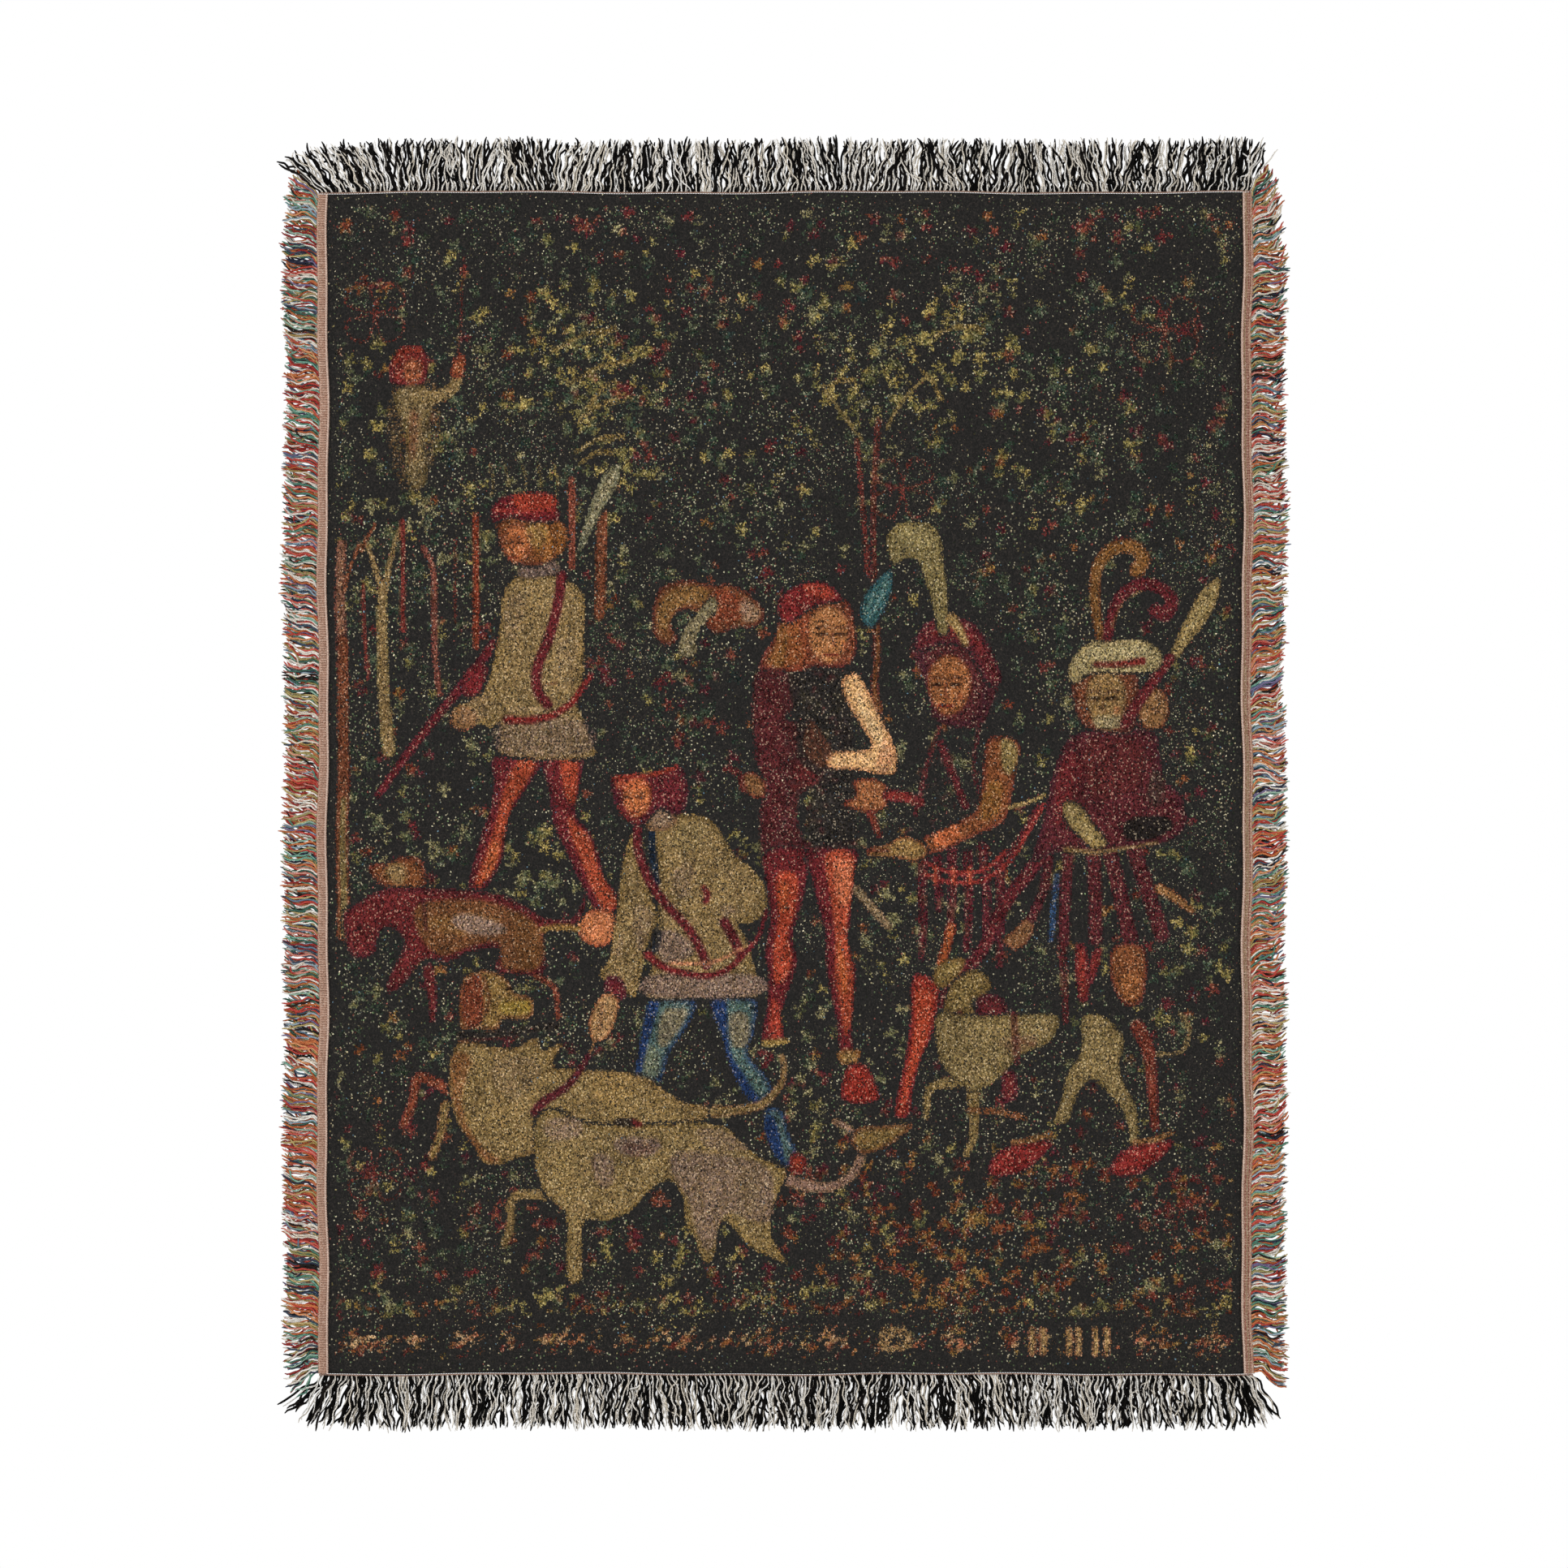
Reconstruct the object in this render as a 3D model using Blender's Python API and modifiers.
"""Jacquard tapestry wall hanging: one woven cotton picture cloth with its yarn ends left as fringe.

The front faces -Y, the cloth hangs in the XZ plane, and the origin is the middle of the rod pocket
that is sewn to the back, near the top edge. Metres, +Z up.
"""

import math

import bmesh
import bpy
from mathutils import Vector

MM = 0.001
FIT_GAP = 0.3 * MM  # clearance between two pieces that touch

# The picture cloth
PANEL_WIDTH = 1146 * MM
PANEL_HEIGHT = 1480 * MM
PANEL_THICKNESS = 2.4 * MM
PANEL_EDGE_ROUNDING = 0.8 * MM

# The plain heading bands at its left and right, with a raised cord and lock stitches
BAND_WIDTH = 14 * MM
BAND_THICKNESS = 3.2 * MM
BAND_CORD_DIAMETER = 2.6 * MM
LOCK_STITCH_MARGIN = 3 * MM
LOCK_STITCH_THICKNESS = 0.8 * MM
LOCK_STITCH_RUNGS = 50
LOCK_STITCH_SPINE = 1.6 * MM

# The overlocked edges at the top and bottom
EDGE_STITCH_HEIGHT = 3.2 * MM
EDGE_STITCH_DEPTH = 3.6 * MM

# The fringe: each comb tooth is a bundle of loose yarns, and each colour is its own layer
TOP_FRINGE_LENGTH = 68 * MM
BOTTOM_FRINGE_LENGTH = 70 * MM
SIDE_FRINGE_LENGTH = 46 * MM
FRINGE_ROOT = 5 * MM
WEFT_LAYER = 2.4 * MM
WARP_LAYER = 1.2 * MM
WEFT_BUNDLE_PITCH = 20 * MM
WARP_BUNDLE_PITCH = 60 * MM
BUNDLE_GAP = 1.5 * MM
BUNDLE_TIP_SHARE = 0.7

# The hanging sleeve on the back, and the rod that it takes
ROD_DIAMETER = 20 * MM
ROD_CLEARANCE = 2 * MM
SLEEVE_LENGTH = 1096 * MM
SLEEVE_CLOTH = 1.2 * MM
SLEEVE_BACK_HEIGHT = 26 * MM
SLEEVE_SLOPE_HEIGHT = 26 * MM
SLEEVE_FLANGE_HEIGHT = 12 * MM
SLEEVE_TOP_MARGIN = 16 * MM
SLEEVE_STITCH_WIDTH = 2 * MM
SLEEVE_STITCH_THICKNESS = 0.8 * MM

# Where everything lies, worked out from the sizes above
POCKET_DEPTH = ROD_DIAMETER + 2 * ROD_CLEARANCE
PANEL_BACK = -POCKET_DEPTH / 2
PANEL_MIDDLE = PANEL_BACK - PANEL_THICKNESS / 2
PANEL_FRONT = PANEL_BACK - PANEL_THICKNESS
SLEEVE_HALF_HEIGHT = SLEEVE_BACK_HEIGHT / 2 + SLEEVE_SLOPE_HEIGHT + SLEEVE_FLANGE_HEIGHT
PANEL_TOP = SLEEVE_HALF_HEIGHT + SLEEVE_TOP_MARGIN
PANEL_BOTTOM = PANEL_TOP - PANEL_HEIGHT
PANEL_CENTRE = (PANEL_TOP + PANEL_BOTTOM) / 2
PANEL_SIDE = PANEL_WIDTH / 2
BAND_INNER = PANEL_SIDE + FIT_GAP
BAND_OUTER = BAND_INNER + BAND_WIDTH
LOCK_STITCH_START = BAND_INNER + BAND_CORD_DIAMETER + FIT_GAP
LOCK_STITCH_WIDTH = BAND_OUTER - LOCK_STITCH_MARGIN - LOCK_STITCH_START
SIDE_FRINGE_START = BAND_OUTER + FIT_GAP
TOP_EDGE_BASE = PANEL_TOP + FIT_GAP
TOP_FRINGE_START = TOP_EDGE_BASE + EDGE_STITCH_HEIGHT + FIT_GAP
BOTTOM_EDGE_BASE = PANEL_BOTTOM - FIT_GAP
BOTTOM_FRINGE_START = BOTTOM_EDGE_BASE - EDGE_STITCH_HEIGHT - FIT_GAP

COTTON_ROUGHNESS = 0.92
PICTURE_CHARCOAL = "2e2c2b"
BAND_PINK = "a98875"
CORD_PALE = "d9bdae"
STITCH_ROSE = "8b6552"
OVERLOCK_BEIGE = "a08672"
SLEEVE_CHARCOAL = "343230"
THREAD_BLACK = "1c1b1b"
NATURAL = "d9d0c2"
BLACK = "1b1917"
WARP_YARNS = (
    ("red", "8c2c2a"),
    ("orange", "b5653c"),
    ("gold", "a8893f"),
    ("green", "3f5f46"),
    ("blue", "44566e"),
    ("natural", NATURAL),
)


def linear_colour(hex_colour):
    def linear(channel):
        return channel / 12.92 if channel <= 0.04045 else ((channel + 0.055) / 1.055) ** 2.4

    channels = [int(hex_colour[i : i + 2], 16) / 255 for i in (0, 2, 4)]
    return (*map(linear, channels), 1.0)


def yarn_material(name, hex_colour):
    material = bpy.data.materials.new(name)
    material.use_nodes = True
    shader = material.node_tree.nodes["Principled BSDF"]
    shader.inputs["Base Color"].default_value = linear_colour(hex_colour)
    shader.inputs["Roughness"].default_value = COTTON_ROUGHNESS
    shader.inputs["Metallic"].default_value = 0.0
    return material


def add_part(name, data, hex_colour):
    """Puts a mesh or curve in the collection as a named part with its own material."""
    part = bpy.data.objects.new(name, data)
    data.materials.append(yarn_material(name, hex_colour))
    tapestry.objects.link(part)
    return part


def cloth_slab(name, low, high, hex_colour, rounding=0.0):
    """A flat strip or sheet of cloth between two corners."""
    low, high = Vector(low), Vector(high)
    shape = bmesh.new()
    bmesh.ops.create_cube(shape, size=1.0)
    bmesh.ops.scale(shape, vec=high - low, verts=shape.verts)
    bmesh.ops.translate(shape, vec=(low + high) / 2, verts=shape.verts)
    mesh = bpy.data.meshes.new(name)
    shape.to_mesh(mesh)
    shape.free()
    slab = add_part(name, mesh, hex_colour)
    if rounding:
        bevel = slab.modifiers.new("rounded_edges", "BEVEL")
        bevel.width = rounding
        bevel.segments = 2
    return slab


def swept_outline(name, corners, sweep, hex_colour):
    """A closed flat outline, given as points in space, swept along a vector into a solid."""
    shape = bmesh.new()
    outline = shape.faces.new([shape.verts.new(corner) for corner in corners])
    grown = bmesh.ops.extrude_face_region(shape, geom=[outline])
    moved = [item for item in grown["geom"] if isinstance(item, bmesh.types.BMVert)]
    bmesh.ops.translate(shape, vec=sweep, verts=moved)
    bmesh.ops.recalc_face_normals(shape, faces=shape.faces)
    mesh = bpy.data.meshes.new(name)
    shape.to_mesh(mesh)
    shape.free()
    return add_part(name, mesh, hex_colour)


def comb_outline(half_length, length, pitch, bundle, offset):
    """A comb along u with its teeth pointing to +v: a root strip, and a tapered bundle at each pitch."""
    count = int((2 * half_length - bundle - 2 * BUNDLE_GAP) // pitch)
    first = -count * pitch / 2 + offset
    outline = [(half_length, 0.0), (half_length, FRINGE_ROOT)]
    for i in reversed(range(count + 1)):
        middle = first + i * pitch
        if abs(middle) + bundle / 2 > half_length - BUNDLE_GAP:
            continue
        outline += [
            (middle + bundle / 2, FRINGE_ROOT),
            (middle + bundle * BUNDLE_TIP_SHARE / 2, length),
            (middle - bundle * BUNDLE_TIP_SHARE / 2, length),
            (middle - bundle / 2, FRINGE_ROOT),
        ]
    return outline + [(-half_length, FRINGE_ROOT), (-half_length, 0.0)]


def fringe(side, yarns, half_length, length, pitch, layer, turn):
    """One comb for each yarn colour. The layers lie behind one another, centred on the cloth's thickness.

    turn takes a comb's own (u, v) to (x, z) at its side of the cloth.
    """
    bundle = pitch / len(yarns) - BUNDLE_GAP
    step = layer + FIT_GAP
    for i, (colour_name, hex_colour) in enumerate(yarns):
        offset = (i - (len(yarns) - 1) / 2) * pitch / len(yarns)
        outline = comb_outline(half_length, length, pitch, bundle, offset)
        front = PANEL_MIDDLE + (i - (len(yarns) - 1) / 2) * step - layer / 2
        corners = [(x, front, z) for x, z in (turn(u, v) for u, v in outline)]
        swept_outline(f"{side}_fringe_{colour_name}", corners, (0.0, layer, 0.0), hex_colour)


def lock_stitch_outline(half_length, rungs, width):
    """A ladder-like line of stitches: a spine with short rungs out of its outer side, as (u, v)."""
    pitch = 2 * half_length / rungs
    outline = [(half_length, 0.0), (half_length, LOCK_STITCH_SPINE)]
    for i in reversed(range(rungs)):
        middle = -half_length + (i + 0.5) * pitch
        outline += [
            (middle + pitch / 4, LOCK_STITCH_SPINE),
            (middle + pitch / 4, width),
            (middle - pitch / 4, width),
            (middle - pitch / 4, LOCK_STITCH_SPINE),
        ]
    return outline + [(-half_length, LOCK_STITCH_SPINE), (-half_length, 0.0)]


def make_picture_cloth():
    cloth_slab(
        "woven_panel",
        (-PANEL_SIDE, PANEL_FRONT, PANEL_BOTTOM),
        (PANEL_SIDE, PANEL_BACK, PANEL_TOP),
        PICTURE_CHARCOAL,
        PANEL_EDGE_ROUNDING,
    )


def make_band(side, sign):
    """A plain heading band, the raised cord along its inner edge, and the lock stitches across it."""
    front = PANEL_MIDDLE - BAND_THICKNESS / 2
    edges = sorted((sign * BAND_INNER, sign * BAND_OUTER))
    cloth_slab(
        f"{side}_band",
        (edges[0], front, PANEL_BOTTOM),
        (edges[1], front + BAND_THICKNESS, PANEL_TOP),
        BAND_PINK,
        PANEL_EDGE_ROUNDING,
    )
    cord_curve = bpy.data.curves.new(f"{side}_band_cord", "CURVE")
    cord_curve.dimensions = "3D"
    cord_curve.bevel_depth = BAND_CORD_DIAMETER / 2
    cord_curve.bevel_resolution = 2
    cord_curve.use_fill_caps = True
    spline = cord_curve.splines.new("POLY")
    spline.points.add(1)
    cord_x = sign * (BAND_INNER + BAND_CORD_DIAMETER / 2)
    cord_y = front - FIT_GAP - BAND_CORD_DIAMETER / 2
    for point, z in zip(spline.points, (PANEL_BOTTOM, PANEL_TOP)):
        point.co = (cord_x, cord_y, z, 1.0)
    add_part(f"{side}_band_cord", cord_curve, CORD_PALE)

    outline = lock_stitch_outline(PANEL_HEIGHT / 2, LOCK_STITCH_RUNGS, LOCK_STITCH_WIDTH)
    face = front - FIT_GAP
    corners = [(sign * (LOCK_STITCH_START + v), face, PANEL_CENTRE + u) for u, v in outline]
    swept_outline(f"{side}_band_stitch", corners, (0.0, -LOCK_STITCH_THICKNESS, 0.0), STITCH_ROSE)


def make_edge_stitches():
    for name, base, sign in (("top", TOP_EDGE_BASE, 1), ("bottom", BOTTOM_EDGE_BASE, -1)):
        heights = sorted((base, base + sign * EDGE_STITCH_HEIGHT))
        cloth_slab(
            f"{name}_edge_stitch",
            (-PANEL_SIDE, PANEL_MIDDLE - EDGE_STITCH_DEPTH / 2, heights[0]),
            (PANEL_SIDE, PANEL_MIDDLE + EDGE_STITCH_DEPTH / 2, heights[1]),
            OVERLOCK_BEIGE,
            PANEL_EDGE_ROUNDING,
        )


def make_fringes():
    weft_yarns = (("natural", NATURAL), ("black", BLACK))
    weft = {"yarns": weft_yarns, "half_length": PANEL_SIDE, "pitch": WEFT_BUNDLE_PITCH, "layer": WEFT_LAYER}
    fringe("top", **weft, length=TOP_FRINGE_LENGTH, turn=lambda u, v: (u, TOP_FRINGE_START + v))
    fringe("bottom", **weft, length=BOTTOM_FRINGE_LENGTH, turn=lambda u, v: (-u, BOTTOM_FRINGE_START - v))

    warp = {"yarns": WARP_YARNS, "half_length": PANEL_HEIGHT / 2, "pitch": WARP_BUNDLE_PITCH}
    warp |= {"layer": WARP_LAYER, "length": SIDE_FRINGE_LENGTH}
    fringe("left", **warp, turn=lambda u, v: (-SIDE_FRINGE_START - v, PANEL_CENTRE + u))
    fringe("right", **warp, turn=lambda u, v: (SIDE_FRINGE_START + v, PANEL_CENTRE - u))


def sleeve_profile(offset):
    """Half of the sleeve's section, from its middle up: (y, z) of the wall's face at that offset inwards."""
    back = POCKET_DEPTH / 2 + SLEEVE_CLOTH - offset
    flange = PANEL_BACK + FIT_GAP + SLEEVE_CLOTH - offset
    slope_end = SLEEVE_BACK_HEIGHT / 2 + SLEEVE_SLOPE_HEIGHT
    # A wall that slopes keeps its thickness, so its inner face starts and ends a little lower.
    lean = math.atan2(back - flange, SLEEVE_SLOPE_HEIGHT)
    drop = offset * math.tan(lean / 2)
    return [
        (back, SLEEVE_BACK_HEIGHT / 2 - drop),
        (flange, slope_end - drop),
        (flange, SLEEVE_HALF_HEIGHT),
    ]


def make_sleeve():
    """A strip of lining cloth, stitched down along its top and bottom flanges, open at both ends."""
    outer, inner = sleeve_profile(0.0), sleeve_profile(SLEEVE_CLOTH)
    mirrored = [(y, -z) for y, z in reversed(outer)]
    mirrored_inner = [(y, -z) for y, z in inner]
    section = mirrored + outer + list(reversed(inner)) + mirrored_inner
    corners = [(-SLEEVE_LENGTH / 2, y, z) for y, z in section]
    swept_outline("hanging_sleeve", corners, (SLEEVE_LENGTH, 0.0, 0.0), SLEEVE_CHARCOAL)

    flange_face = PANEL_BACK + FIT_GAP + SLEEVE_CLOTH + FIT_GAP
    stitch_z = SLEEVE_HALF_HEIGHT - SLEEVE_FLANGE_HEIGHT / 2
    stitch_face = flange_face + SLEEVE_STITCH_THICKNESS
    for name, sign in (("top", 1), ("bottom", -1)):
        middle = sign * stitch_z
        cloth_slab(
            f"sleeve_{name}_stitch",
            (-SLEEVE_LENGTH / 2, flange_face, middle - SLEEVE_STITCH_WIDTH / 2),
            (SLEEVE_LENGTH / 2, stitch_face, middle + SLEEVE_STITCH_WIDTH / 2),
            THREAD_BLACK,
        )


for old in list(bpy.data.objects):
    bpy.data.objects.remove(old)
tapestry = bpy.data.collections.new("tapestry_wall_hanging")
bpy.context.scene.collection.children.link(tapestry)

make_picture_cloth()
make_band("left", -1)
make_band("right", 1)
make_edge_stitches()
make_fringes()
make_sleeve()
